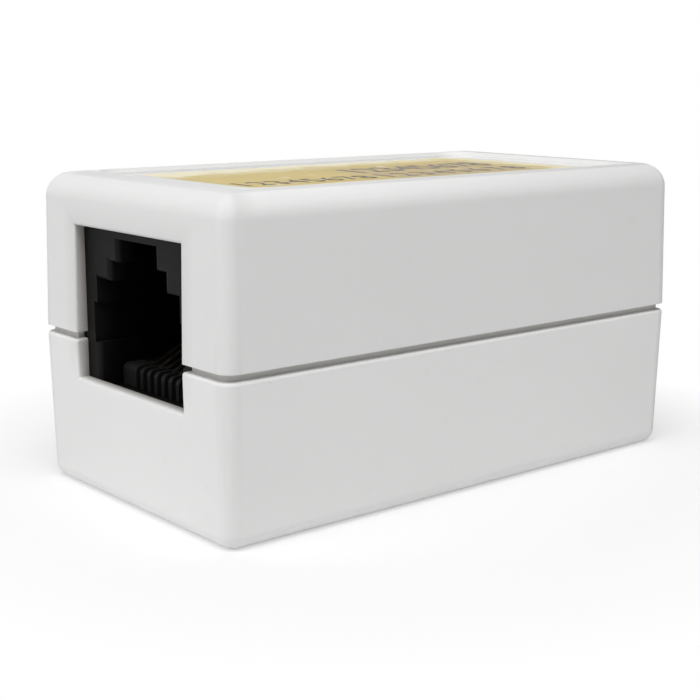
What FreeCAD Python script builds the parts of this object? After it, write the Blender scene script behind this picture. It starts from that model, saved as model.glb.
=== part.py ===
"""Inline coupler for two 8P8C network plugs: a drafted two-part plastic case, split at a shadow
groove, around a circuit board that carries two side-entry jacks back to back.

Lengths are in millimetres. X runs along the case with the left jack at -X, Y runs across it and Z
points up from the underside, which lies on Z = 0. Both jacks are one design turned half round Z.
"""
import FreeCAD, Part
import os
import re
import Sketcher

doc = FreeCAD.newDocument("inline_coupler")
sheet = doc.addObject("Spreadsheet::Sheet", "Sizes")

# Every size of the part: name, value or formula, meaning.
SIZES = [
    # case
    ("jack_gap", "9.54 mm", "between the backs of the two housings"),
    ("side_space", "3.4 mm", "housing to the inside of a side wall"),
    ("post_height", "4.8 mm", "inside of the floor to the circuit board"),
    ("rib_height", "1.15 mm", "top of the housings to the inside of the roof"),
    ("draft_angle", "1.06 deg", "draft of all outer walls, away from the parting line"),
    ("parting_rise", "4.5 mm", "top of the circuit board to the middle of the groove"),
    ("groove_height", "0.56 mm", "open height of the shadow groove"),
    ("groove_depth", "0.55 mm", "outer face to the tongue behind the groove"),
    ("end_wall", "1.05 mm", "end walls, which the jack faces stand behind"),
    ("side_wall", "1.6 mm", "long walls"),
    ("floor", "1.6 mm", "plastic under the circuit board space"),
    ("corner_round", "1.2 mm", "upright outer corners"),
    ("top_round", "1.95 mm", "edge round of the top face"),
    ("bottom_round", "1.2 mm", "edge round of the underside"),
    ("lower_lip_round", "0.26 mm", "upper outer edge of the lower shell"),
    ("inner_round", "0.6 mm", "upright inner corners"),
    ("tongue_thickness", "0.5 mm", "lap tongue on the lower shell"),
    ("tongue_height", "1.8 mm", "tongue above the lower shell's rim"),
    ("tongue_clearance", "0.05 mm", "tongue to the skirt of the upper shell"),
    ("tongue_stop", "0.1 mm", "side of the housing to the end of the tongue"),
    ("overrun", "1 mm", "how far a cutter runs past the face it leaves"),
    # window in each end wall
    ("sill_rise", "1.15 mm", "sill of the window above the circuit board"),
    ("jamb_lap", "0.5 mm", "how far the window frame covers each side of the housing"),
    ("head_lap", "0.3 mm", "how far the window frame covers the top of the housing"),
    ("window_round", "0.24 mm", "outer edges of the window"),
    # label recess in the top face
    ("end_rim", "3.55 mm", "end of the case to the label recess, at the parting line"),
    ("side_rim", "2.55 mm", "side of the case to the label recess, at the parting line"),
    ("recess_depth", "0.5 mm", "label recess below the top face"),
    ("recess_round", "2.3 mm", "corners of the label recess"),
    ("recess_bevel", "0.3 mm", "upper edge of the label recess"),
    ("roof", "1.9 mm", "plastic left under the label recess"),
    ("label_end_gap", "2.3 mm", "label to the recess, at each end"),
    ("label_side_gap", "1.45 mm", "label to the recess, at each side"),
    ("label_thickness", "0.1 mm", "printed label"),
    ("label_round", "1.6 mm", "corners of the label"),
    # circuit board on four posts
    ("board_end_gap", "1.5 mm", "circuit board to each end wall"),
    ("board_side_gap", "0.4 mm", "circuit board to each side wall"),
    ("board_thickness", "1.6 mm", "circuit board"),
    ("post_inset", "6.3 mm", "post axis to the inside of the end wall"),
    ("post_edge", "1.9 mm", "post axis to the inside of the side wall"),
    ("post_size", "2.6 mm", "square post under the board"),
    ("pin_radius", "0.7 mm", "locating pin on the post"),
    ("pin_height", "0.6 mm", "locating pin above the board"),
    ("pin_clearance", "0.08 mm", "locating pin to its hole"),
    # jack housing, left one; each rise is measured up from the circuit board
    ("jack_width", "16 mm", "housing across the case"),
    ("jack_lid", "1 mm", "plastic above the latch opening"),
    ("jack_depth", "18 mm", "jack face to the back of the housing"),
    ("wall_clearance", "0.03 mm", "jack face to the end wall"),
    ("face_plate", "1.4 mm", "plate that the plug latch catches behind"),
    ("plug_floor_rise", "2.25 mm", "top of the comb, where the plug slides"),
    ("relief_bottom_rise", "4.1 mm", "underside of the side relief"),
    ("relief_top_rise", "7.3 mm", "top of the side relief"),
    ("plug_roof_rise", "9.17 mm", "ceiling over the plug body"),
    ("latch_step_rise", "10.7 mm", "ceiling over the latch shoulders"),
    ("latch_roof_rise", "12.55 mm", "ceiling over the latch tab"),
    ("cavity_width", "11.7 mm", "cavity beside the comb"),
    ("plug_width", "11.75 mm", "cavity beside the plug body"),
    ("relief_width", "12.75 mm", "cavity at the side relief"),
    ("shoulder_width", "7.85 mm", "opening for the latch shoulders"),
    ("latch_width", "5.3 mm", "opening for the latch tab"),
    ("catch_width", "9.2 mm", "latch pocket behind the face plate"),
    ("catch_length", "9.5 mm", "latch pocket along the case"),
    ("catch_roof_rise", "12.2 mm", "ceiling of the latch pocket"),
    ("plug_depth", "13 mm", "jack face to the end of the cavity"),
    ("back_wall", "1.5 mm", "wall that ends the cavity"),
    ("front_bar", "0.55 mm", "height of the bar across the foot of the housing"),
    ("latch_round", "0.42 mm", "front edges of the steps that guide the latch"),
    ("side_round", "0.42 mm", "front edges beside the comb"),
    ("peg_radius", "1.05 mm", "peg under the housing"),
    ("peg_along", "8 mm", "peg axis behind the jack face"),
    ("peg_across", "6.2 mm", "peg axis from the middle"),
    ("peg_clearance", "0.1 mm", "peg to its hole"),
    # contact carrier with the comb, left one
    ("comb_sink", "2.07 mm", "comb behind the jack face"),
    ("comb_depth", "1.8 mm", "wide front part of the carrier"),
    ("comb_round", "0.5 mm", "upper front edge of the comb"),
    ("carrier_width", "9.9 mm", "narrow rear part of the carrier"),
    ("carrier_depth", "14.2 mm", "comb front to the back of the carrier"),
    ("carrier_clearance", "0.05 mm", "carrier to the housing, all round"),
    ("slot_width", "0.58 mm", "channel for one contact"),
    ("slot_floor_rise", "0.3 mm", "bottom of the channels"),
    ("slot_end", "13.5 mm", "length of the channels"),
    # spring contacts, left ones
    ("contact_pitch", "1.016 mm", "contact to contact"),
    ("contact_width", "0.4 mm", "contact strip"),
    ("contact_thickness", "0.36 mm", "contact strip"),
    ("contact_sink", "0.35 mm", "bend behind the comb front"),
    ("bend_radius", "0.72 mm", "middle line of the front bend"),
    ("tail_radius", "0.45 mm", "middle line of the bend down to the board"),
    ("rise_angle", "27 deg", "slope of the free arm"),
    ("arm_reach", "7.6 mm", "length of the free arm"),
    ("tail_front", "10.4 mm", "front row of tails behind the comb front"),
    ("tail_rows", "2.54 mm", "between the two rows of tails"),
    ("tail_below", "0.9 mm", "tail below the board"),
    ("tail_hole", "0.8 mm", "square hole for a tail"),
    # hold-down ribs in the upper shell
    ("rib_thickness", "1.2 mm", "rib along the case"),
    ("rib_width", "12 mm", "rib across the case"),
    ("rib_front", "6 mm", "first rib behind the jack face"),
    ("rib_spacing", "7.5 mm", "between the two ribs over a jack"),
    # formulas
    ("jack_sink", "=end_wall + wall_clearance", "jack face behind the end of the case"),
    ("case_length", "=2 * (jack_sink + jack_depth) + jack_gap", "length at the parting line"),
    ("case_width", "=jack_width + 2 * (side_space + side_wall)", "width at the parting line"),
    ("board_bottom", "=floor + post_height", "seat of the board"),
    ("board_top", "=board_bottom + board_thickness", "seat of both jacks"),
    ("jack_top", "=board_top + latch_roof_rise + jack_lid", "top of the housing"),
    ("inside_top", "=jack_top + rib_height", "inside of the roof"),
    ("case_height", "=inside_top + roof + recess_depth", "underside to top face"),
    ("parting_height", "=board_top + parting_rise", "middle of the shadow groove"),
    ("window_width", "=jack_width - 2 * jamb_lap", "window across the case"),
    ("window_bottom", "=board_top + sill_rise", "sill of the window"),
    ("window_top", "=jack_top - head_lap", "head of the window"),
    ("plug_floor", "=board_top + plug_floor_rise", "top of the comb"),
    ("relief_bottom", "=board_top + relief_bottom_rise", "underside of the side relief"),
    ("relief_top", "=board_top + relief_top_rise", "top of the side relief"),
    ("plug_roof", "=board_top + plug_roof_rise", "ceiling over the plug body"),
    ("latch_step", "=board_top + latch_step_rise", "ceiling over the latch shoulders"),
    ("latch_roof", "=board_top + latch_roof_rise", "ceiling over the latch tab"),
    ("catch_roof", "=board_top + catch_roof_rise", "ceiling of the latch pocket"),
    ("slot_floor", "=board_top + slot_floor_rise", "bottom of the channels"),
    ("recess_length", "=case_length - 2 * end_rim", "label recess along the case"),
    ("recess_width", "=case_width - 2 * side_rim", "label recess across the case"),
    ("label_length", "=recess_length - 2 * label_end_gap", "printed label"),
    ("label_width", "=recess_width - 2 * label_side_gap", "printed label"),
    ("tongue_opening", "=jack_width + 2 * tongue_stop", "break in the tongue at each window"),
    ("upper_start", "=parting_height + groove_height / 2", "lower rim of the upper shell"),
    ("lower_end", "=parting_height - groove_height / 2", "upper rim of the lower shell"),
    ("tongue_top", "=lower_end + tongue_height", "seat of the upper shell"),
    ("rebate_length", "=case_length - 2 * (groove_depth - tongue_clearance)", "room for the tongue"),
    ("rebate_width", "=case_width - 2 * (groove_depth - tongue_clearance)", "room for the tongue"),
    ("upper_draft", "=tan(draft_angle) * (case_height - upper_start)", "lean of the upper shell"),
    ("lower_draft", "=tan(draft_angle) * lower_end", "lean of the lower shell"),
    ("inner_length", "=case_length - 2 * end_wall", "inside of the case"),
    ("inner_width", "=case_width - 2 * side_wall", "inside of the case"),
    ("board_length", "=inner_length - 2 * board_end_gap", "circuit board"),
    ("board_width", "=inner_width - 2 * board_side_gap", "circuit board"),
    ("post_along", "=inner_length / 2 - post_inset", "post axis from the middle, along the case"),
    ("post_across", "=inner_width / 2 - post_edge", "post axis from the middle, across the case"),
    ("jack_front", "=-case_length / 2 + jack_sink", "face of the left jack"),
    ("jack_back", "=jack_front + jack_depth", "back of the left jack"),
    ("cavity_back", "=jack_front + plug_depth", "end of the plug cavity"),
    ("comb_front", "=jack_front + comb_sink", "front of the left comb"),
    ("comb_back", "=comb_front + comb_depth", "step of the carrier"),
    ("carrier_back", "=comb_front + carrier_depth", "back of the carrier"),
    ("run_height", "=slot_floor + contact_thickness / 2", "middle line of the level run"),
    ("bend_start", "=comb_front + contact_sink + contact_thickness / 2 + bend_radius", "bend axis"),
    ("tail_bottom", "=board_bottom - tail_below", "end of the tails"),
]
for row, (alias, content, meaning) in enumerate(SIZES, 1):
    sheet.set("A%d" % row, meaning)
    sheet.set("B%d" % row, content if content.startswith("=") else "=" + content)
    sheet.setAlias("B%d" % row, alias)
doc.recompute()
ALIASES = {alias for alias, content, meaning in SIZES}


def bound(formula):
    """The formula with each size name pointed at the sheet."""
    return re.sub(r"[a-z_]+", lambda word: ("Sizes." if word.group() in ALIASES else "")
                  + word.group(), str(formula))


def worth(formula):
    """Present value of a formula, in millimetres or degrees."""
    result = sheet.evalExpression(bound(formula))
    return float(getattr(result, "Value", result))


def new_body(label):
    """Empty body for one sub-part; its label is the node name."""
    body = doc.addObject("PartDesign::Body", label)
    body.Label = label
    return body


def block(body, name, sort, low, high):
    """Box that adds or cuts between two corners, each given as three formulas."""
    box = body.newObject("PartDesign::%sBox" % sort, name)
    for axis, side, start, end in zip("xyz", ("Length", "Width", "Height"), low, high):
        box.setExpression("Placement.Base." + axis, bound(start))
        box.setExpression(side, bound("(%s) - (%s)" % (end, start)))
    return box


def stud(body, name, sort, middle, radius, bottom, top):
    """Upright cylinder that adds or cuts, its axis at two formulas."""
    rod = body.newObject("PartDesign::%sCylinder" % sort, name)
    rod.setExpression("Placement.Base.x", bound(middle[0]))
    rod.setExpression("Placement.Base.y", bound(middle[1]))
    rod.setExpression("Placement.Base.z", bound(bottom))
    rod.setExpression("Radius", bound(radius))
    rod.setExpression("Height", bound("(%s) - (%s)" % (top, bottom)))
    return rod


def row_of(body, name, feature, count, span):
    """Repeats a feature along Y: count pieces over the span."""
    pattern = body.newObject("PartDesign::LinearPattern", name)
    pattern.Originals = [feature]
    pattern.Direction = (next(axis for axis in body.Origin.OriginFeatures if "Y_Axis" in axis.Name), [""])
    pattern.setExpression("Length", bound(span))
    pattern.Occurrences = count
    body.Tip = pattern
    return pattern


TURNS = {
    "XY": FreeCAD.Rotation(),
    "YZ": FreeCAD.Rotation(FreeCAD.Vector(0, 1, 0), FreeCAD.Vector(0, 0, 1), FreeCAD.Vector(1, 0, 0)),
    "XZ": FreeCAD.Rotation(FreeCAD.Vector(1, 0, 0), FreeCAD.Vector(0, 0, 1), FreeCAD.Vector(0, -1, 0)),
}
NORMALS = {"XY": "z", "YZ": "x", "XZ": "y"}


def new_sketch(body, name, plane, level):
    """Sketch on a plane square to one axis, at the level a formula gives."""
    sketch = body.newObject("Sketcher::SketchObject", name)
    sketch.Placement = FreeCAD.Placement(FreeCAD.Vector(), TURNS[plane])
    sketch.setExpression("Placement.Base." + NORMALS[plane], bound(level))
    return sketch


def tie(sketch, kind, geometry, point, formula, name):
    """Fixes one coordinate of a sketch point to a formula."""
    number = sketch.addConstraint(Sketcher.Constraint(kind, -1, 1, geometry, point, worth(formula)))
    sketch.renameConstraint(number, name)
    sketch.setExpression("Constraints." + name, bound(formula))


def polygon(sketch, corners):
    """Closed outline; every corner is tied to two formulas."""
    points = [FreeCAD.Vector(worth(u), worth(v), 0) for u, v in corners]
    first = len(sketch.Geometry)
    for number, point in enumerate(points):
        sketch.addGeometry(Part.LineSegment(point, points[(number + 1) % len(points)]), False)
    for number, (u, v) in enumerate(corners):
        following = first + (number + 1) % len(corners)
        sketch.addConstraint(Sketcher.Constraint("Coincident", first + number, 2, following, 1))
        tie(sketch, "DistanceX", first + number, 1, u, "u_%d" % (first + number))
        tie(sketch, "DistanceY", first + number, 1, v, "v_%d" % (first + number))


def rectangle(sketch, length, width):
    """Outline centred on the sketch origin."""
    polygon(sketch, [("-%s / 2" % length, "-%s / 2" % width), ("%s / 2" % length, "-%s / 2" % width),
                     ("%s / 2" % length, "%s / 2" % width), ("-%s / 2" % length, "%s / 2" % width)])


def rounded(body, name, radius, chosen, sort="Fillet", measure="Radius"):
    """Fillet on those edges of the body's tip whose bounding box passes the test."""
    doc.recompute()
    tip = body.Tip
    edges = ["Edge%d" % number for number, edge in enumerate(tip.Shape.Edges, 1) if chosen(edge.BoundBox)]
    eased = body.newObject("PartDesign::" + sort, name)
    eased.Base = (tip, edges)
    eased.setExpression(measure, bound(radius))
    body.Tip = eased


def bevelled(body, name, size, chosen):
    """Chamfer on the edges that pass the test."""
    rounded(body, name, size, chosen, "Chamfer", "Size")


def drafted(body, name, bottom, bottom_lean, top, top_lean):
    """Block of the case between two levels; each lean is how far its walls stand in at that level."""
    wedge = body.newObject("PartDesign::AdditiveWedge", name)
    wedge.Placement = FreeCAD.Placement(FreeCAD.Vector(), FreeCAD.Rotation(FreeCAD.Vector(1, 0, 0), 90))
    for side, formula in (("Ymin", bottom), ("Ymax", top),
                          ("Xmax", "case_length / 2 - " + bottom_lean), ("X2max", "case_length / 2 - " + top_lean),
                          ("Zmax", "case_width / 2 - " + bottom_lean), ("Z2max", "case_width / 2 - " + top_lean)):
        wedge.setExpression(side, bound(formula))
        if side[0] != "Y":
            wedge.setExpression(side.replace("max", "min"), bound("-(%s)" % formula))


SLACK = worth("case_length") / 2000


def near(number, formula):
    """True where a coordinate agrees with a formula."""
    return abs(number - worth(formula)) < SLACK


def upright(box, height):
    """True for an edge that stands about as tall as the formula says."""
    return box.ZLength > worth(height) * 0.9 and max(box.XLength, box.YLength) < worth(height) * 0.1


def half_turn(body, end):
    """Turns the pieces of the right-hand jack half round Z."""
    if end == "right":
        body.Placement = FreeCAD.Placement(FreeCAD.Vector(), FreeCAD.Rotation(FreeCAD.Vector(0, 0, 1), 180))


def round_windows(body, name):
    """Softens the outer edges of both windows, which lie in the drafted end faces."""
    reach = worth("case_length / 2 - upper_draft") - SLACK
    side = worth("window_width") / 2 + SLACK
    rounded(body, name, "window_round", lambda box: min(abs(box.XMin), abs(box.XMax)) > reach
            and box.YMin > -side and box.YMax < side)


# Upper shell: drafted cap with the label recess, both windows, the skirt that laps the tongue
# and the ribs that hold the jacks down.
upper = new_body("upper_shell")
drafted(upper, "upper_cap", "upper_start", "0 mm", "case_height", "upper_draft")
rounded(upper, "upper_top_edge", "top_round", lambda box: near(box.ZMin, "case_height"))
rounded(upper, "upper_corners", "corner_round", lambda box: near(box.ZMin, "upper_start")
        and upright(box, "case_height - upper_start - top_round"))
block(upper, "upper_hollow", "Subtractive",
      ("-inner_length / 2", "-inner_width / 2", "upper_start - overrun"),
      ("inner_length / 2", "inner_width / 2", "inside_top"))
rounded(upper, "upper_inner_corners", "inner_round",
        lambda box: upright(box, "inside_top - upper_start") and near(box.ZMax, "inside_top")
        and near(abs(box.XMin), "inner_length / 2"))
for side, low, high in (("front", "-rebate_width / 2", "-tongue_opening / 2 + tongue_clearance"),
                        ("back", "tongue_opening / 2 - tongue_clearance", "rebate_width / 2")):
    block(upper, "rebate_" + side, "Subtractive", ("-rebate_length / 2", low, "upper_start - overrun"),
          ("rebate_length / 2", high, "tongue_top"))
block(upper, "upper_windows", "Subtractive",
      ("-case_length / 2 - overrun", "-window_width / 2", "upper_start - overrun"),
      ("case_length / 2 + overrun", "window_width / 2", "window_top"))
round_windows(upper, "upper_window_edges")
block(upper, "label_recess", "Subtractive",
      ("-recess_length / 2", "-recess_width / 2", "case_height - recess_depth"),
      ("recess_length / 2", "recess_width / 2", "case_height + overrun"))
rounded(upper, "recess_corners", "recess_round",
        lambda box: near(abs(box.XMin), "recess_length / 2") and near(abs(box.YMin), "recess_width / 2")
        and near(box.ZMin, "case_height - recess_depth") and box.ZLength > SLACK)
bevelled(upper, "recess_edge", "recess_bevel", lambda box: near(box.ZMin, "case_height")
        and max(-box.XMin, box.XMax) < worth("recess_length / 2") + SLACK
        and max(-box.YMin, box.YMax) < worth("recess_width / 2") + SLACK)
for side, sign in (("left", 1), ("right", -1)):
    for number in (0, 1):
        middle = "%d * (jack_front + rib_front + %d * rib_spacing)" % (sign, number)
        block(upper, "rib_%s_%d" % (side, number + 1), "Additive",
              (middle + " - rib_thickness / 2", "-rib_width / 2", "jack_top"),
              (middle + " + rib_thickness / 2", "rib_width / 2", "inside_top + roof / 2"))

# Lower shell: drafted tub with the sills of the windows, the tongue behind the groove and four
# posts under the board, two of which carry the pins that locate it.
lower = new_body("lower_shell")
drafted(lower, "lower_tub", "0 mm", "lower_draft", "lower_end", "0 mm")
rounded(lower, "lower_corners", "corner_round", lambda box: upright(box, "lower_end"))
rounded(lower, "lower_bottom_edge", "bottom_round", lambda box: near(box.ZMax, "0 mm"))
block(lower, "lower_hollow", "Subtractive", ("-inner_length / 2", "-inner_width / 2", "floor"),
      ("inner_length / 2", "inner_width / 2", "lower_end + overrun"))
rounded(lower, "lower_inner_corners", "inner_round",
        lambda box: upright(box, "lower_end - floor") and near(box.ZMin, "floor")
        and near(abs(box.XMin), "inner_length / 2"))
ring = new_sketch(lower, "tongue_plan", "XY", "lower_end")
rectangle(ring, "(case_length - 2 * groove_depth)", "(case_width - 2 * groove_depth)")
rectangle(ring, "(case_length - 2 * groove_depth - 2 * tongue_thickness)",
          "(case_width - 2 * groove_depth - 2 * tongue_thickness)")
tongue = lower.newObject("PartDesign::Pad", "tongue")
tongue.Profile = ring
tongue.setExpression("Length", bound("tongue_height"))
lower.Tip = tongue
rounded(lower, "tongue_corners", "corner_round - groove_depth",
        lambda box: upright(box, "tongue_height") and near(abs(box.XMin), "case_length / 2 - groove_depth"))
rounded(lower, "lower_lip", "lower_lip_round", lambda box: near(box.ZMin, "lower_end")
        and near(box.ZMax, "lower_end") and (near(max(-box.XMin, box.XMax), "case_length / 2")
                                             or near(max(-box.YMin, box.YMax), "case_width / 2")))
block(lower, "tongue_breaks", "Subtractive",
      ("-case_length / 2", "-tongue_opening / 2", "lower_end"),
      ("case_length / 2", "tongue_opening / 2", "tongue_top + overrun"))
block(lower, "lower_windows", "Subtractive",
      ("-case_length / 2 - overrun", "-window_width / 2", "window_bottom"),
      ("case_length / 2 + overrun", "window_width / 2", "lower_end + overrun"))
round_windows(lower, "lower_window_edges")
for along, across in ((1, 1), (1, -1), (-1, 1), (-1, -1)):
    corner = "%s_%s" % ("right" if along > 0 else "left", "back" if across > 0 else "front")
    middle = ("%d * post_along" % along, "%d * post_across" % across)
    block(lower, "post_" + corner, "Additive",
          [place + " - post_size / 2" for place in middle] + ["floor / 2"],
          [place + " + post_size / 2" for place in middle] + ["board_bottom"])
    if along == across:
        stud(lower, "pin_" + corner, "Additive", middle, "pin_radius", "board_bottom - pin_height",
             "board_top + pin_height")

# Label: thin printed sheet on the floor of the recess.
label = new_body("label")
block(label, "label_sheet", "Additive",
      ("-label_length / 2", "-label_width / 2", "case_height - recess_depth"),
      ("label_length / 2", "label_width / 2", "case_height - recess_depth + label_thickness"))
rounded(label, "label_corners", "label_round", lambda box: upright(box, "label_thickness"))

# Circuit board: holes for the locating pins, the jack pegs and the two staggered rows of tails.
board = new_body("circuit_board")
block(board, "board_sheet", "Additive", ("-board_length / 2", "-board_width / 2", "board_bottom"),
      ("board_length / 2", "board_width / 2", "board_top"))
for along, across in ((1, 1), (1, -1), (-1, 1), (-1, -1)):
    corner = "%s_%s" % ("right" if along > 0 else "left", "back" if across > 0 else "front")
    if along == across:
        stud(board, "pin_hole_" + corner, "Subtractive",
             ("%d * post_along" % along, "%d * post_across" % across),
             "pin_radius + pin_clearance", "board_bottom - overrun", "board_top + overrun")
    stud(board, "peg_hole_" + corner, "Subtractive",
         ("%d * (-jack_front - peg_along)" % along, "%d * peg_across" % across),
         "peg_radius + peg_clearance", "board_bottom - overrun", "board_top + overrun")
for side, sign in (("left", 1), ("right", -1)):
    for line in (0, 1):
        middle = ("%d * (comb_front + tail_front + %d * tail_rows)" % (sign, line),
                  "(%d - 3.5) * contact_pitch" % (line if sign > 0 else 1 - line))
        hole = block(board, "tail_hole_%s_%d" % (side, line + 1), "Subtractive",
                     [place + " - tail_hole / 2" for place in middle] + ["board_bottom - overrun"],
                     [place + " + tail_hole / 2" for place in middle] + ["board_top + overrun"])
        row_of(board, "tail_holes_%s_%d" % (side, line + 1), hole, 4, "6 * contact_pitch")

for end in ("left", "right"):
    # Jack housing: face behind the window, stepped opening for plug and latch, pocket that the
    # latch springs into behind the face plate, seat for the contact carrier, and two pegs.
    jack = new_body("jack_housing_" + end)
    block(jack, "jack_block_" + end, "Additive", ("jack_front", "-jack_width / 2", "board_top"),
          ("jack_back", "jack_width / 2", "jack_top"))
    steps = [("cavity_width / 2", "plug_floor"), ("cavity_width / 2", "relief_bottom"),
             ("relief_width / 2", "relief_bottom"), ("relief_width / 2", "relief_top"),
             ("plug_width / 2", "relief_top"), ("plug_width / 2", "plug_roof"),
             ("shoulder_width / 2", "plug_roof"), ("shoulder_width / 2", "latch_step"),
             ("latch_width / 2", "latch_step"), ("latch_width / 2", "latch_roof")]
    outline = new_sketch(jack, "jack_opening_" + end, "YZ", "cavity_back")
    polygon(outline, steps + [("-" + across, height) for across, height in reversed(steps)])
    opening = jack.newObject("PartDesign::Pocket", "jack_cavity_" + end)
    opening.Profile = outline
    opening.setExpression("Length", bound("plug_depth + overrun"))
    jack.Tip = opening
    block(jack, "latch_pocket_" + end, "Subtractive",
          ("jack_front + face_plate", "-catch_width / 2", "plug_roof"),
          ("jack_front + face_plate + catch_length", "catch_width / 2", "catch_roof"))
    block(jack, "entry_floor_" + end, "Subtractive",
          ("jack_front - overrun", "-cavity_width / 2", "board_top + front_bar"),
          ("comb_front", "cavity_width / 2", "plug_floor"))
    block(jack, "comb_seat_" + end, "Subtractive",
          ("comb_front - carrier_clearance", "-cavity_width / 2", "board_top - overrun"),
          ("comb_back + carrier_clearance", "cavity_width / 2", "plug_floor"))
    block(jack, "carrier_seat_" + end, "Subtractive",
          ("comb_back", "-carrier_width / 2 - carrier_clearance", "board_top - overrun"),
          ("jack_back + overrun", "carrier_width / 2 + carrier_clearance", "plug_floor"))
    block(jack, "rear_hollow_" + end, "Subtractive",
          ("cavity_back + back_wall", "-cavity_width / 2", "plug_floor"),
          ("jack_back + overrun", "cavity_width / 2", "latch_step"))
    rounded(jack, "latch_edges_" + end, "latch_round",
            lambda box: near(box.XMax, "jack_front") and not near(box.ZMin, "latch_roof")
            and box.ZMin > worth("plug_roof") - SLACK and box.ZMax < worth("latch_roof") + SLACK)
    rounded(jack, "side_edges_" + end, "side_round",
            lambda box: near(box.XMax, "jack_front") and box.YLength < SLACK
            and near(abs(box.YMin), "cavity_width / 2") and near(box.ZMax, "relief_bottom"))
    for name, across in (("front", "-peg_across"), ("back", "peg_across")):
        stud(jack, "peg_%s_%s" % (name, end), "Additive", ("jack_front + peg_along", across), "peg_radius",
             "board_bottom - peg_clearance", "board_top + front_bar")
    half_turn(jack, end)

    # Contact carrier: comb with eight channels, open on top, and a slot down to the board for
    # each tail.
    carrier = new_body("contact_carrier_" + end)
    block(carrier, "comb_" + end, "Additive",
          ("comb_front", "-cavity_width / 2 + carrier_clearance", "board_top"),
          ("comb_back", "cavity_width / 2 - carrier_clearance", "plug_floor"))
    rounded(carrier, "comb_edge_" + end, "comb_round",
            lambda box: near(box.XMax, "comb_front") and near(box.ZMin, "plug_floor"))
    block(carrier, "carrier_rear_" + end, "Additive",
          ("comb_back - comb_depth / 2", "-carrier_width / 2", "board_top"),
          ("carrier_back", "carrier_width / 2", "plug_floor"))
    channel = block(carrier, "channel_" + end, "Subtractive",
                    ("comb_front - overrun", "-3.5 * contact_pitch - slot_width / 2", "slot_floor"),
                    ("comb_front + slot_end", "-3.5 * contact_pitch + slot_width / 2", "plug_floor + overrun"))
    row_of(carrier, "channels_" + end, channel, 8, "7 * contact_pitch")
    for line in (0, 1):
        middle = "comb_front + tail_front + %d * tail_rows" % line
        start = "(%d - 3.5) * contact_pitch" % line
        slot = block(carrier, "tail_slot_%s_%d" % (end, line + 1), "Subtractive",
                     (middle + " - slot_width / 2", start + " - slot_width / 2", "board_top - overrun"),
                     (middle + " + slot_width / 2", start + " + slot_width / 2", "slot_floor + overrun"))
        row_of(carrier, "tail_slots_%s_%d" % (end, line + 1), slot, 4, "6 * contact_pitch")
    half_turn(carrier, end)

    # Spring contacts: tail up through the board, level run forward in its channel, bend behind
    # the comb, and a free arm that rises towards the back.
    for number in range(8):
        contact = new_body("contact_%s_%d" % (end, number + 1))
        name = "%s_%d" % (end, number + 1)
        across = "(%d - 3.5) * contact_pitch" % number
        tail = "(comb_front + tail_front + %d * tail_rows)" % (number % 2)
        path = new_sketch(contact, "path_" + name, "XZ", across)
        low_z, run_z = worth("tail_bottom"), worth("run_height")
        tail_x, bend_x = worth(tail), worth("bend_start")
        small, large, slope = worth("tail_radius"), worth("bend_radius"), worth("rise_angle")
        lean = FreeCAD.Vector(FreeCAD.Rotation(slope, 0, 0).multVec(FreeCAD.Vector(1, 0, 0)))
        centre = FreeCAD.Vector(bend_x, run_z + large, 0)
        leave = centre + FreeCAD.Vector(-lean.y, lean.x, 0) * large
        flat = Part.Circle(FreeCAD.Vector(tail_x - small, run_z - small, 0), FreeCAD.Vector(0, 0, 1), small)
        back = Part.Circle(centre, FreeCAD.Vector(0, 0, 1), large)
        path.addGeometry([
            Part.LineSegment(FreeCAD.Vector(tail_x, low_z, 0), FreeCAD.Vector(tail_x, run_z - small, 0)),
            Part.ArcOfCircle(flat, 0, FreeCAD.Units.parseQuantity("pi / 2").Value),
            Part.LineSegment(FreeCAD.Vector(tail_x - small, run_z, 0), FreeCAD.Vector(bend_x, run_z, 0)),
            Part.Arc(leave, centre - FreeCAD.Vector(large, 0, 0), centre - FreeCAD.Vector(0, large, 0)),
            Part.LineSegment(leave, leave + lean * worth("arm_reach")),
        ], False)
        arcs = {1: path.Geometry[1], 3: path.Geometry[3]}
        ends = [path.Geometry[n].StartPoint for n in range(5)]
        tangents = [(0, 2, 1, 1), (1, 2, 2, 1), (2, 2, 3, 2), (3, 1, 4, 1)]
        for first, first_end, second, second_end in tangents:
            path.addConstraint(Sketcher.Constraint("Tangent", first, first_end, second, second_end))
        path.addConstraint(Sketcher.Constraint("Vertical", 0))
        path.addConstraint(Sketcher.Constraint("Horizontal", 2))
        tie(path, "DistanceX", 0, 1, tail, "tail_along")
        tie(path, "DistanceY", 0, 1, "tail_bottom", "tail_end")
        tie(path, "DistanceY", 2, 1, "run_height", "run_level")
        tie(path, "DistanceX", 3, 3, "bend_start", "bend_axis")
        for kind, parts, formula, word in (("Radius", (1,), "tail_radius", "tail_bend"),
                                           ("Radius", (3,), "bend_radius", "front_bend"),
                                           ("Distance", (4,), "arm_reach", "arm_length"),
                                           ("Angle", (4,), "rise_angle", "arm_slope")):
            scale = FreeCAD.Units.parseQuantity("pi / 180").Value if kind == "Angle" else 1
            added = path.addConstraint(Sketcher.Constraint(kind, *parts, worth(formula) * scale))
            path.renameConstraint(added, word)
            path.setExpression("Constraints." + word, bound(formula))
        strip = new_sketch(contact, "strip_" + name, "XY", "tail_bottom")
        strip.setExpression("Placement.Base.x", bound(tail))
        strip.setExpression("Placement.Base.y", bound(across))
        rectangle(strip, "contact_thickness", "contact_width")
        sweep = contact.newObject("PartDesign::AdditivePipe", "sweep_" + name)
        sweep.Profile = strip
        sweep.Spine = path
        contact.Tip = sweep
        half_turn(contact, end)

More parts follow.
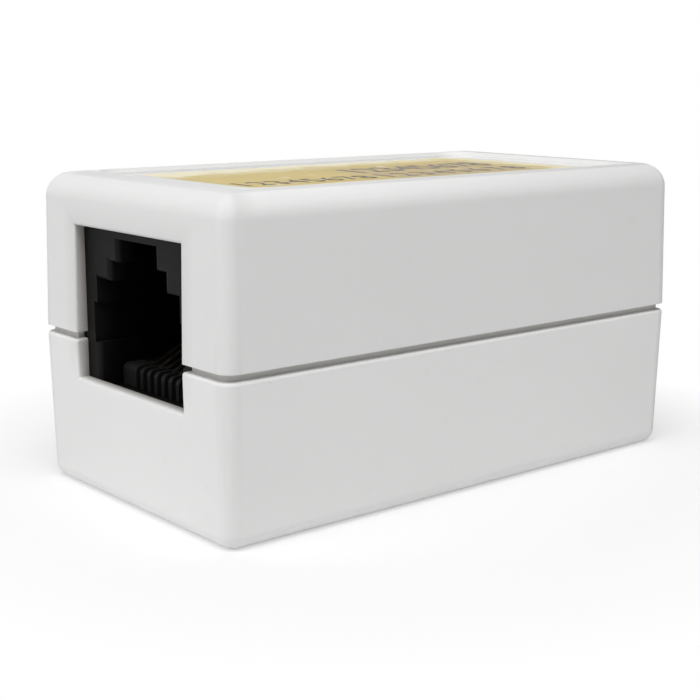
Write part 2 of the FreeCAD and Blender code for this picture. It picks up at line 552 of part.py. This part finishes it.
doc.recompute()
bodies = [thing for thing in doc.Objects if thing.TypeId == "PartDesign::Body"]
faults = [thing.Name for thing in doc.Objects if "Invalid" in thing.State or "Error" in thing.State]
faults += [body.Label for body in bodies if body.Shape.isNull() or not body.Shape.isValid()
           or len(body.Shape.Solids) != 1]
if faults:
    raise RuntimeError("faulty objects: " + ", ".join(faults))
os.makedirs("parts", exist_ok=True)
for body in bodies:
    body.Shape.exportStep("parts/%s.step" % body.Label)
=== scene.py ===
"""Inline coupler for two network plugs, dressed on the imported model: white satin case, gold label
with three rows of contact numbers, black sockets, gilded contacts and the board between them."""
from math import cos, pi, radians, sin
import bpy
import bmesh
from mathutils import Matrix, Vector


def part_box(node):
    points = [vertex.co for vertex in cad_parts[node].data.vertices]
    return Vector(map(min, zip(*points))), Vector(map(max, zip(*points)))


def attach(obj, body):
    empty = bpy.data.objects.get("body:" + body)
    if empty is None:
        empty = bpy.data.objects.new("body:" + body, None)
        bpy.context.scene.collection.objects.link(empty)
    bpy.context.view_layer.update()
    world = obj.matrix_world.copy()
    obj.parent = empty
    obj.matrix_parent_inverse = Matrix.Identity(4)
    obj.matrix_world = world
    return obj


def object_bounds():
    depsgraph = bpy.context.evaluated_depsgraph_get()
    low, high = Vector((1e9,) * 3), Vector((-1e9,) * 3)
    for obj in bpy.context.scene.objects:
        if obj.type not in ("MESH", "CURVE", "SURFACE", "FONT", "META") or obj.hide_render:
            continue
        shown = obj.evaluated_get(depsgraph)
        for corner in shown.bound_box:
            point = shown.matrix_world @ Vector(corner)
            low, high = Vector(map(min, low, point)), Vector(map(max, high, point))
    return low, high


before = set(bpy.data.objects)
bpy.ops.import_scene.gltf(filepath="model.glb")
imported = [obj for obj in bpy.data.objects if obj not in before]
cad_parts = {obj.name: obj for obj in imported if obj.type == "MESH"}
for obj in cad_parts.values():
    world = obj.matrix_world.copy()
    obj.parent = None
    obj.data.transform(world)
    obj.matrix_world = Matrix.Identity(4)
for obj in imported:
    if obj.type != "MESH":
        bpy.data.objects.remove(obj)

cad_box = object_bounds()


# Camera. It stands low and close at the left socket's corner, behind a long lens, so that the end
# wall, one long wall and a thin strip of the label show at once. It leans by a fraction of a degree.
MM = 0.001
case_low, case_high = Vector(cad_box[0]), Vector(cad_box[1])
EYE = Vector((-75.465, -87.991, 33.377)) * MM
LOOK_AROUND, LOOK_DOWN, LEAN = radians(-39.817), radians(11.651), radians(0.142)
LENS, SENSOR = 71.014, 36.0
NEAREST, FARTHEST = 1 * MM, 20.0
away = Vector((sin(LOOK_AROUND) * cos(LOOK_DOWN), -cos(LOOK_AROUND) * cos(LOOK_DOWN), sin(LOOK_DOWN)))
level = Vector((0, 0, 1)).cross(away).normalized()
upward = away.cross(level)
across = level * cos(LEAN) + upward * sin(LEAN)
upward = upward * cos(LEAN) - level * sin(LEAN)
lens = bpy.data.cameras.new("camera")
lens.lens, lens.sensor_width = LENS, SENSOR
lens.clip_start, lens.clip_end = NEAREST, FARTHEST
camera = bpy.data.objects.new("camera", lens)
camera.matrix_world = Matrix.Translation(EYE) @ Matrix((across, upward, away)).transposed().to_4x4()
bpy.context.scene.collection.objects.link(camera)
bpy.context.scene.camera = camera
bpy.context.scene.view_settings.view_transform = "Standard"


# Studio. A pale table runs on into a white surround. The key is a soft box high up in front of the
# left end, and two weaker ones face the end wall and the long wall. A fourth fills the far sides and
# is hidden from reflections, so that it lays no glare on the label.
class Number:
    """A number on its way through a shader, which takes part in Python sums."""

    def __init__(self, wiring, socket):
        self.wiring, self.socket = wiring, socket

    def sum_of(self, operation, first, second):
        return self.wiring.number("ShaderNodeMath", {"operation": operation}, {0: first, 1: second})

    def __add__(self, other):
        return self.sum_of("ADD", self, other)

    def __sub__(self, other):
        return self.sum_of("SUBTRACT", self, other)

    def __rsub__(self, other):
        return self.sum_of("SUBTRACT", other, self)

    def __mul__(self, other):
        return self.sum_of("MULTIPLY", self, other)

    def __truediv__(self, other):
        return self.sum_of("DIVIDE", self, other)

    def __or__(self, other):
        return self.sum_of("MAXIMUM", self, other)

    def __abs__(self):
        return self | 0 - self

    __radd__, __rmul__ = __add__, __mul__


class Wiring:
    """The nodes of a material or of the world. node() adds any node."""

    def __init__(self, owner):
        owner.use_nodes = True
        self.tree = owner.node_tree

    def feed(self, socket, value):
        if isinstance(value, Number):
            value = value.socket
        if isinstance(value, bpy.types.NodeSocket):
            self.tree.links.new(value, socket)
        else:
            socket.default_value = value

    def node(self, kind, settings, sockets):
        node = self.tree.nodes.new(kind)
        for name, value in settings.items():
            setattr(node, name, value)
        for name, value in sockets.items():
            self.feed(node.inputs[name], value)
        return node

    def number(self, kind, settings, sockets, output=0):
        return Number(self, self.node(kind, settings, sockets).outputs[output])

    def show_white(self, lit, output, kind, share):
        """Mixes white over a shader for the rays that see the background, and for no light."""
        rays = self.node("ShaderNodeLightPath", {}, {}).outputs
        seen = Number(self, rays["Is Camera Ray"]) | rays["Is Glossy Ray"] | rays["Is Transmission Ray"]
        white = self.node(kind, {}, {"Color": (1, 1, 1, 1), "Strength": 1.0})
        both = self.node("ShaderNodeMixShader", {}, {0: seen * share, 1: lit.outputs[0], 2: white.outputs[0]})
        self.feed(output.inputs["Surface"], both.outputs[0])


class Finish(Wiring):
    """A material under construction, whose shader is its Principled BSDF."""

    def __init__(self, name):
        self.material = bpy.data.materials.new(name)
        super().__init__(self.material)
        self.shader = next(node for node in self.tree.nodes if node.type == "BSDF_PRINCIPLED")
        self.output = next(node for node in self.tree.nodes if node.type == "OUTPUT_MATERIAL")

    def mix(self, factor, first, second):
        """Colour between two others."""
        return self.node("ShaderNodeMix", {"data_type": "RGBA"}, {0: factor, 6: first, 7: second}).outputs[2]

    def place(self):
        """Object coordinates, in metres."""
        return self.node("ShaderNodeTexCoord", {}, {}).outputs["Object"]

    def along(self, axis):
        """One object coordinate as a number."""
        return self.number("ShaderNodeSeparateXYZ", {}, {0: self.place()}, output=axis)

    def noise(self, size, detail=2.0, roughness=0.5, place=None):
        """Cloud of values round a half, whose blobs are about as large as size."""
        return self.number("ShaderNodeTexNoise", {}, {
            "Vector": place or self.place(), "Scale": 1 / size, "Detail": detail, "Roughness": roughness})

    def ramp(self, value, low, high, start=0.0, end=1.0):
        """Value from low to high spread over start to end, and held there."""
        return self.number("ShaderNodeMapRange", {"clamp": True}, {
            "Value": value, "From Min": low, "From Max": high, "To Min": start, "To Max": end})

    def bump(self, height, distance, strength=1.0, under=None):
        sockets = {"Height": height, "Distance": distance, "Strength": strength}
        if under is not None:
            sockets["Normal"] = under
        return self.node("ShaderNodeBump", {}, sockets).outputs[0]

    def set(self, **sockets):
        """Feeds the shader; a socket's name is written with _ for its spaces."""
        for name, value in sockets.items():
            self.feed(self.shader.inputs[name.replace("_", " ")], value)
        return self.material


LAMP_SIDE = 0.40
middle = (case_low + case_high) / 2


def soft_box(name, place, power):
    """Square lamp that faces the middle of the case."""
    lamp = bpy.data.lights.new(name, "AREA")
    lamp.shape, lamp.size, lamp.energy = "SQUARE", LAMP_SIDE, power
    stand = bpy.data.objects.new(name, lamp)
    stand.location = place
    stand.rotation_euler = (Vector(place) - middle).to_track_quat("Z", "Y").to_euler()
    bpy.context.scene.collection.objects.link(stand)
    return stand


soft_box("key_light", (-0.16, -0.16, 0.48), 2.32)
soft_box("end_light", (-0.42, 0.05, 0.26), 0.74)
soft_box("side_light", (0.10, -0.42, 0.26), 0.29)
fill = soft_box("fill_light", (0.36, 0.42, 0.12), 0.6)
fill.visible_glossy = False
WHITE, SKY_GLOW = (1, 1, 1, 1), 0.01
world = bpy.data.worlds.new("surround")
bpy.context.scene.world = world
surround = Wiring(world)
sky = next(node for node in surround.tree.nodes if node.type == "BACKGROUND")
surround.feed(sky.inputs["Color"], WHITE)
surround.feed(sky.inputs["Strength"], SKY_GLOW)
horizon = next(node for node in surround.tree.nodes if node.type == "OUTPUT_WORLD")
surround.show_white(sky, horizon, "ShaderNodeBackground", 1.0)
TABLE_REACH, TABLE_SIDES = 3.0, 48
SHADE_REACH, FADE_REACH = 27 * MM, 44 * MM
turns = [2 * pi * side / TABLE_SIDES for side in range(TABLE_SIDES)]
table = bpy.data.meshes.new("table")
table.from_pydata([(TABLE_REACH * cos(turn), TABLE_REACH * sin(turn), 0) for turn in turns], [],
                  [list(range(TABLE_SIDES))])
floor = bpy.data.objects.new("table", table)
bpy.context.scene.collection.objects.link(floor)
paper = Finish("table_paper")
grain = paper.noise(2 * MM, detail=3)
paper.set(Base_Color=paper.mix(grain, (0.90, 0.90, 0.90, 1), (0.93, 0.93, 0.93, 1)), Roughness=0.9,
          Specular_IOR_Level=0.1)
distance = paper.number("ShaderNodeVectorMath", {"operation": "LENGTH"}, {0: paper.place()}, "Value")
paper.show_white(paper.shader, paper.output, "ShaderNodeEmission",
                 paper.ramp(distance, SHADE_REACH, FADE_REACH, 0.5, 1.0))
table.materials.append(paper.material)


# Case. Two drafted halves moulded in white ABS from a spark-eroded tool, so the outside is an
# even satin with a very fine grain. Painted light is laid into its colour: a painted highlight on the
# long upper rounds, painted shade on the rim, the corners, round the windows and down their lining, a
# paler painted recess wall and a paler lower half. Dust settles in the groove where the halves meet.
GROOVE_HEIGHT, RECESS_BEVEL = 0.56 * MM, 0.3 * MM
JAMB_LAP, HEAD_LAP, SILL_RISE = 0.5 * MM, 0.3 * MM, 1.15 * MM
LABEL_END_GAP, LABEL_SIDE_GAP = 2.3 * MM, 1.45 * MM
FLECK_TONE, PAINTED_SHADE_TONE, DUST_TONE = (0.62, 0.61, 0.58, 1), (0.45, 0.45, 0.445, 1), (0.42, 0.40, 0.37, 1)
ROUND_HIGHLIGHT_TONE, LINING_SHADE_TONE = (0.885, 0.885, 0.88, 1), (0.285, 0.262, 0.232, 1)
WALL_FOOT_TONE, WALL_HEAD_TONE = (0.95, 0.95, 0.945, 1), (0.83, 0.83, 0.825, 1)
groove_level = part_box("upper_shell")[0].z - GROOVE_HEIGHT / 2
jack_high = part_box("jack_housing_right")[1]
window_side, window_top = jack_high.y - JAMB_LAP, jack_high.z - HEAD_LAP
window_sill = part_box("circuit_board")[1].z + SILL_RISE
window_middle, window_half = (window_top + window_sill) / 2, (window_top - window_sill) / 2
label_low, label_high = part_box("label")
recess_end, recess_side = label_high.x + LABEL_END_GAP, label_high.y + LABEL_SIDE_GAP


def dress(name, finish):
    """Gives a CAD node its finish."""
    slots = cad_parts[name].data.materials
    slots.clear()
    slots.append(finish)


def abs_plastic(name, darkest, palest):
    """White ABS between two greys, which lean a trace towards yellow."""
    white = Finish(name)
    along, aside, height = (white.along(axis) for axis in range(3))
    tint = white.noise(9 * MM, detail=3)
    speck = white.noise(0.9 * MM, detail=2)
    tone = white.mix(tint, (darkest, darkest, darkest * 0.995, 1), (palest, palest, palest * 0.995, 1))
    tone = white.mix(white.ramp(speck, 0.70, 0.80, 0.0, 0.12), tone, FLECK_TONE)

    # Painted highlight: the long upper rounds are painted paler where the key light catches them, least so at
    # the right end.
    rim = white.ramp(height, case_high.z - 0.19 * MM, case_high.z - 0.10 * MM)
    rim = rim * white.ramp(aside, recess_side - 1 * MM, recess_side, 1.0, 0.0)
    round_highlight = white.ramp(height, case_high.z - 2.0 * MM, case_high.z - 1.0 * MM) * (1 - rim)
    round_highlight = round_highlight * white.ramp(along, -12 * MM, 18 * MM, 0.9, 0.1)
    round_highlight = round_highlight * white.ramp(abs(aside), case_high.y - 2.6 * MM, case_high.y - 2.0 * MM)
    round_highlight = round_highlight * white.ramp(abs(along), case_high.x - 3.2 * MM, case_high.x - 1.6 * MM, 1.0, 0.0)
    tone = white.mix(round_highlight, tone, ROUND_HIGHLIGHT_TONE)

    # Painted shade: the corners and the rim round the recess are painted grey where less light falls, the rim
    # more so towards the far right end.
    corner = white.ramp(abs(along), case_high.x - 1.5 * MM, case_high.x - 0.7 * MM)
    corner = corner * white.ramp(abs(aside), case_high.y - 1.5 * MM, case_high.y - 0.7 * MM)
    corner = corner * white.ramp(height, groove_level - 1 * MM, groove_level + 3 * MM, 0.22, 0.15)
    tone = white.mix(corner, tone, PAINTED_SHADE_TONE)
    rim_shade = white.ramp(along + aside, -33 * MM, 5 * MM, 0.12, 0.38)
    tone = white.mix(rim * rim_shade, tone, PAINTED_SHADE_TONE)

    # Painted light: the wall of the recess is painted paler than the case, palest at its foot, for light
    # thrown back from the label.
    within = (abs(along) - recess_end) | (abs(aside) - recess_side)
    within = white.ramp(within, RECESS_BEVEL, 2 * RECESS_BEVEL, 1.0, 0.0)
    wall = white.ramp(height, label_low.z, label_low.z + 0.02 * MM)
    climb = white.ramp(height, label_low.z, label_high.z + 0.2 * MM)
    tone = white.mix(within * wall, tone, white.mix(climb, WALL_FOOT_TONE, WALL_HEAD_TONE))

    # Dust lies in the groove. Painted shade: a grey halo round the windows, above their sills, and a
    # lining of the windows painted darker towards the jack, where little light reaches.
    dust = white.ramp(abs(height - groove_level), GROOVE_HEIGHT * 0.35, GROOVE_HEIGHT * 0.6, 0.55, 0.0)
    tone = white.mix(dust, tone, DUST_TONE)
    outside = (abs(aside) - window_side) | (abs(height - window_middle) - window_half)
    window_shade = white.ramp(outside, 0, 1.7 * MM, 0.22, 0.0)
    window_shade = window_shade * white.ramp(height, window_sill, window_sill + 3 * MM)
    tone = white.mix(window_shade, tone, PAINTED_SHADE_TONE)
    lining_shade = white.ramp(outside, 0.02 * MM, 0.20 * MM, 1.0, 0.0)
    lining_shade = lining_shade * white.ramp(case_high.x - abs(along), 0.3 * MM, 1.05 * MM, 0.15, 1.0)
    tone = white.mix(lining_shade, tone, LINING_SHADE_TONE)

    skin = white.bump(white.noise(7 * MM, detail=1), 0.06 * MM, 0.35)
    skin = white.bump(white.noise(0.11 * MM, detail=2, roughness=0.6), 0.012 * MM, 0.5, skin)
    satin = white.ramp(white.noise(3 * MM, detail=4), 0.3, 0.7, 0.54, 0.62)
    return white.set(Base_Color=tone, Roughness=satin, Normal=skin, Specular_IOR_Level=0.14)


# Painted light: the lower half is given a paler white than the upper, for the light thrown up from the table.
dress("upper_shell", abs_plastic("white_abs_upper", 0.775, 0.800))
dress("lower_shell", abs_plastic("white_abs_lower", 0.825, 0.850))


# Sockets. Housings moulded in black glass-filled nylon with a satin skin, and in each a comb insert
# of a duller black, which holds the contacts. Painted shade: the housing's black is painted darker from the
# face inwards, where little light reaches the inside of the cavities.
CAVITY_SHADE_BLACK = (0.0016, 0.0016, 0.0016, 1)
black = Finish("black_nylon")
cloud = black.noise(2.5 * MM, detail=3)
fleck = black.noise(0.10 * MM, detail=2)
faded = black.mix(cloud, (0.006, 0.006, 0.006, 1), (0.011, 0.011, 0.0105, 1))
cavity_shade = black.ramp(jack_high.x - abs(black.along(0)), 0.3 * MM, 2.0 * MM)
black.set(Base_Color=black.mix(cavity_shade, faded, CAVITY_SHADE_BLACK),
          Roughness=black.ramp(cloud, 0.3, 0.7, 0.44, 0.56), Normal=black.bump(fleck, 0.01 * MM, 0.5),
          Specular_IOR_Level=0.07)
dull = Finish("dull_black_nylon")
cloud = dull.noise(2 * MM, detail=3)
fleck = dull.noise(0.12 * MM, detail=2)
dull.set(Base_Color=dull.mix(cloud, (0.008, 0.008, 0.008, 1), (0.014, 0.014, 0.0135, 1)),
         Roughness=dull.ramp(cloud, 0.3, 0.7, 0.46, 0.60), Normal=dull.bump(fleck, 0.012 * MM, 0.6),
         Specular_IOR_Level=0.10)
for end in ("left", "right"):
    dress("jack_housing_" + end, black.material)
    dress("contact_carrier_" + end, dull.material)


# Contacts. Sixteen phosphor-bronze strips with a thin gold flash, drawn and bent, whose metal is
# streaked brighter and duller at random.
# Painted shade: the gold is given a far darker colour than bare gold, for the shade of the cavities the
# contacts sit in.
gilt = Finish("gold_flash")
streak = gilt.noise(0.8 * MM, detail=3)
gilt.set(Base_Color=gilt.mix(streak, (0.09, 0.078, 0.060, 1), (0.17, 0.148, 0.115, 1)), Metallic=1.0,
         Roughness=gilt.ramp(streak, 0.3, 0.7, 0.28, 0.42))
for end in ("left", "right"):
    for number in range(1, 9):
        dress("contact_%s_%d" % (end, number), gilt.material)


# Circuit board. A plate of glass-cloth laminate on four posts, which joins the two sockets. Its
# green mask lets the weave of the cloth show faintly.
WEAVE_SIZE = 9 * MM
mask = Finish("green_mask")
warp, weft = (mask.number("ShaderNodeTexWave", {"bands_direction": direction},
                          {"Vector": mask.place(), "Scale": 1 / WEAVE_SIZE}, "Fac") for direction in "XY")
cloth = warp * weft
mask.set(Base_Color=mask.mix(cloth, (0.012, 0.10, 0.035, 1), (0.020, 0.14, 0.05, 1)), Roughness=0.32,
         Normal=mask.bump(cloth, 0.01 * MM, 0.3))
dress("circuit_board", mask.material)


# Solder joints and plated holes. Each tail ends under the board in a small bright fillet of solder,
# drawn in towards the tail, and sixteen plated holes lead the tracks from one face to the other.
class Pattern(Wiring):
    """A Geometry Nodes tree with named inputs, which grows on a mesh of points or lines."""

    def __init__(self, name, inputs):
        self.tree = bpy.data.node_groups.new(name, "GeometryNodeTree")
        sockets = self.tree.interface
        self.inputs = {label: sockets.new_socket(label, in_out="INPUT", socket_type=kind).identifier
                       for label, kind in inputs.items()}
        sockets.new_socket("Result", in_out="OUTPUT", socket_type="NodeSocketGeometry")
        self.given = self.node("NodeGroupInput", {}, {}).outputs

    def end(self, geometry):
        real = self.node("GeometryNodeRealizeInstances", {}, {"Geometry": geometry}).outputs[0]
        painted = self.node("GeometryNodeSetMaterial", {}, {
            "Geometry": real, "Material": self.given["Finish"]})
        self.node("NodeGroupOutput", {}, {"Result": painted.outputs[0]})

    def grow(self, name, slot, points, edges, **values):
        """Grows the pattern, keeps it as a plain mesh and lets it ride on the one body."""
        seed = bpy.data.meshes.new(name + "_seed")
        seed.from_pydata(points, edges, [])
        piece = bpy.data.objects.new(name, seed)
        bpy.context.scene.collection.objects.link(piece)
        growth = piece.modifiers.new(self.tree.name, "NODES")
        growth.node_group = self.tree
        for label, value in values.items():
            growth[self.inputs[label]] = value
        evaluated = piece.evaluated_get(bpy.context.evaluated_depsgraph_get())
        grown = bpy.data.meshes.new_from_object(evaluated)
        piece.modifiers.remove(growth)
        grown.materials.clear()
        grown.materials.append(values["Finish"])
        grown.polygons.foreach_set("material_index", [0] * len(grown.polygons))
        piece.data = grown
        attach(piece, "root")


FLOAT, FINISH = "NodeSocketFloat", "NodeSocketMaterial"
drops = Pattern("drops", {"Points": "NodeSocketGeometry", "Foot": FLOAT, "Waist": FLOAT, "Drop": FLOAT,
                          "Finish": FINISH})
foot, waist, drop = (Number(drops, drops.given[label]) for label in ("Foot", "Waist", "Drop"))
cone = drops.node("GeometryNodeMeshCone", {"fill_type": "TRIANGLE_FAN"}, {
    "Vertices": 20, "Side Segments": 5, "Radius Top": foot, "Radius Bottom": waist, "Depth": drop}).outputs
place = drops.node("GeometryNodeInputPosition", {}, {}).outputs[0]
spot = drops.node("ShaderNodeSeparateXYZ", {}, {0: place}).outputs
spot_x, spot_y, spot_z = (Number(drops, spot[axis]) for axis in range(3))
share = spot_z / drop
drawn = (waist + (foot - waist) * share * share) / (waist + (foot - waist) * share)
hollow = drops.node("ShaderNodeCombineXYZ", {}, {
    0: spot_x * drawn, 1: spot_y * drawn, 2: spot_z - drop}).outputs[0]
fillet = drops.node("GeometryNodeSetPosition", {}, {"Geometry": cone["Mesh"], "Position": hollow}).outputs[0]
smooth = drops.node("GeometryNodeSetShadeSmooth", {}, {
    "Geometry": fillet, "Selection": cone["Side"]}).outputs[0]
size = drops.node("FunctionNodeRandomValue", {"data_type": "FLOAT"}, {2: 0.92, 3: 1.08, "Seed": 7}).outputs[1]
drops.end(drops.node("GeometryNodeInstanceOnPoints", {}, {
    "Points": drops.given["Points"], "Instance": smooth, "Scale": size}).outputs[0])
solder = Finish("solder")
flow = solder.noise(0.4 * MM, detail=2)
solder.set(Base_Color=solder.mix(flow, (0.42, 0.41, 0.39, 1), (0.60, 0.59, 0.57, 1)), Metallic=1.0,
           Roughness=solder.ramp(flow, 0.3, 0.7, 0.22, 0.40))
HALF_STRIP, HOLE_RADIUS, HOLE_RISE = 0.18 * MM, 0.24 * MM, 0.04 * MM
COLUMN_PITCH, LANE_SHIFT = 1.05 * MM, 0.508 * MM
board_low, board_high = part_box("circuit_board")
tails, columns = [], []
for number in range(1, 9):
    low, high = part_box("contact_left_%d" % number)
    start = Vector((high.x - HALF_STRIP, (low.y + high.y) / 2, board_low.z))
    low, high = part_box("contact_right_%d" % number)
    finish = Vector((low.x + HALF_STRIP, (low.y + high.y) / 2, board_low.z))
    tails.append((start, finish))
    columns.append((number - 4.5) * COLUMN_PITCH)
drops.grow("solder_joints", "contact_metal", [end for pair in tails for end in pair], [],
           Foot=0.58 * MM, Waist=0.27 * MM, Drop=0.62 * MM, Finish=solder.material)
holes = [(column, level, board_high.z + HOLE_RISE) for column, (start, finish) in zip(columns, tails)
         for level in (start.y, finish.y + LANE_SHIFT)]
drops.grow("plated_holes", "contact_metal", holes, [], Foot=HOLE_RADIUS, Waist=HOLE_RADIUS,
           Drop=board_high.z - board_low.z + 2 * HOLE_RISE, Finish=solder.material)


# Tracks. Copper strips under the mask lead each contact of one socket to the contact of the same
# number in the other: along the board on its underside, and across it on its upper side.
JOG_PLACE = 5.6 * MM
strips = Pattern("strips", {"Lines": "NodeSocketGeometry", "Width": FLOAT, "Rise": FLOAT,
                            "Finish": FINISH})
line = strips.node("GeometryNodeMeshToCurve", {}, {"Mesh": strips.given["Lines"]}).outputs[0]
line = strips.node("GeometryNodeSetCurveNormal", {"mode": "Z_UP"}, {"Curve": line}).outputs[0]
section = strips.node("GeometryNodeCurvePrimitiveQuadrilateral", {}, {
    "Width": strips.given["Width"], "Height": strips.given["Rise"]}).outputs[0]
strips.end(strips.node("GeometryNodeCurveToMesh", {}, {
    "Curve": line, "Profile Curve": section, "Fill Caps": True}).outputs[0])
copper = Finish("masked_copper")
etched = copper.noise(1.5 * MM, detail=3)
copper.set(Base_Color=copper.mix(etched, (0.020, 0.19, 0.060, 1), (0.035, 0.25, 0.085, 1)), Roughness=0.30)
points, edges = [], []
for column, (start, finish) in zip(columns, tails):
    shifted = finish.y + LANE_SHIFT
    for run in ([start, (column, start.y, board_low.z)],
                [(column, start.y, board_high.z), (column, shifted, board_high.z)],
                [(column, shifted, board_low.z), (JOG_PLACE, shifted, board_low.z),
                 (JOG_PLACE + LANE_SHIFT, finish.y, board_low.z), finish]):
        edges += [(len(points) + step, len(points) + step + 1) for step in range(len(run) - 1)]
        points += run
strips.grow("copper_tracks", "board_laminate", points, edges, Width=0.22 * MM, Rise=0.07 * MM,
            Finish=copper.material)


# Label. Gold satin film on a white backing that shows at its left end, glued into the recess. The
# gold is painted paler along the far side and at the right end as a painted reflection of the white surround,
# scuffed, and stained where ink has bled.
DEEP_GOLD, PALE_GOLD = (0.555, 0.435, 0.160, 1), (0.620, 0.495, 0.200, 1)
SHEEN_AND_SCUFF_GOLD, STAIN_TONE = (0.85, 0.80, 0.60, 1), (0.44, 0.355, 0.215, 1)
BACKING_TONE = (0.70, 0.70, 0.69, 1)
BACKING_WIDTH, RAGGEDNESS = 1.0 * MM, 6 * MM
film = Finish("gold_film")
along, aside = film.along(0), film.along(1)
gold = film.mix(film.noise(4 * MM, detail=4), DEEP_GOLD, PALE_GOLD)
bled = film.ramp(along, -4 * MM, -1.5 * MM) * film.ramp(along, 13 * MM, 15 * MM, 1.0, 0.0)
bled = bled * film.ramp(abs(aside + 4.4 * MM), 1.2 * MM, 2.0 * MM, 0.95, 0.65)
bled = bled * film.ramp(aside, 2.5 * MM, 4.5 * MM, 1.0, 0.0)
bled = bled * film.ramp(film.noise(1.3 * MM, detail=3), 0.34, 0.48)
gold = film.mix(bled, gold, STAIN_TONE)
ragged = (film.noise(1.8 * MM, detail=3) - 0.5) * RAGGEDNESS
# Painted reflection: the far side and the right end are painted paler, as the white surround mirrored in the
# film; the scuffs are real wear.
far_side_sheen = film.ramp(aside - along * 0.08 + ragged, 4.6 * MM, 8.0 * MM, 0.0, 0.95)
right_end_sheen = film.ramp(along + ragged, 14 * MM, 17 * MM, 0.0, 0.8)
scuff = film.ramp(film.noise(2.4 * MM, detail=2), 0.66, 0.74, 0.0, 0.5)
gold = film.mix(far_side_sheen | right_end_sheen | scuff, gold, SHEEN_AND_SCUFF_GOLD)
backing = film.ramp(along, label_low.x + 0.85 * MM, label_low.x + BACKING_WIDTH, 1.0, 0.0)
film.set(Base_Color=film.mix(backing, gold, BACKING_TONE), Roughness=0.5, Specular_IOR_Level=0.12)
dress("label", film.material)


# Print on the label. Three rows of contact numbers, two small ones in line along the near edge and
# a larger one behind them, in dark violet ink that stands proud of the film by a hair.
INK_RISE, FONT_SIZE_TO_HEIGHT = 0.02 * MM, 1.4
FADED_INK = (0.16, 0.145, 0.135, 1)
narrow = Matrix.Diagonal((0.76, 1, 1, 1))
ink = Finish("violet_ink")
fresh = ink.mix(ink.noise(0.5 * MM, detail=3), (0.055, 0.050, 0.060, 1), (0.10, 0.09, 0.10, 1))
ink.set(Base_Color=ink.mix(ink.ramp(ink.along(0), -4 * MM, 0), fresh, FADED_INK), Roughness=0.55)
for row, height, start, pitch, line in (("left", 2.8 * MM, -16.1 * MM, 1.70 * MM, -5.5 * MM),
                                        ("right", 2.8 * MM, -2.0 * MM, 2.13 * MM, -5.4 * MM),
                                        ("far", 4.0 * MM, -1.2 * MM, 2.05 * MM, -0.9 * MM)):
    joined = bmesh.new()
    for number in range(8):
        text = bpy.data.curves.new("%s_%d" % (row, number + 1), "FONT")
        text.body, text.align_x = str(number + 1), "CENTER"
        text.size = height * FONT_SIZE_TO_HEIGHT
        text.resolution_u = 4
        shape = bpy.data.objects.new(text.name, text)
        bpy.context.scene.collection.objects.link(shape)
        bpy.context.view_layer.update()
        evaluated = shape.evaluated_get(bpy.context.evaluated_depsgraph_get())
        flat = bpy.data.meshes.new_from_object(evaluated)
        bpy.data.objects.remove(shape)
        spot = Matrix.Translation((start + pitch * number, line, label_high.z + INK_RISE))
        flat.transform(spot @ narrow)
        joined.from_mesh(flat)
    mesh = bpy.data.meshes.new("numbers_" + row)
    joined.to_mesh(mesh)
    joined.free()
    mesh.materials.append(ink.material)
    numbers = bpy.data.objects.new("numbers_" + row, mesh)
    bpy.context.scene.collection.objects.link(numbers)
    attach(numbers, "root")
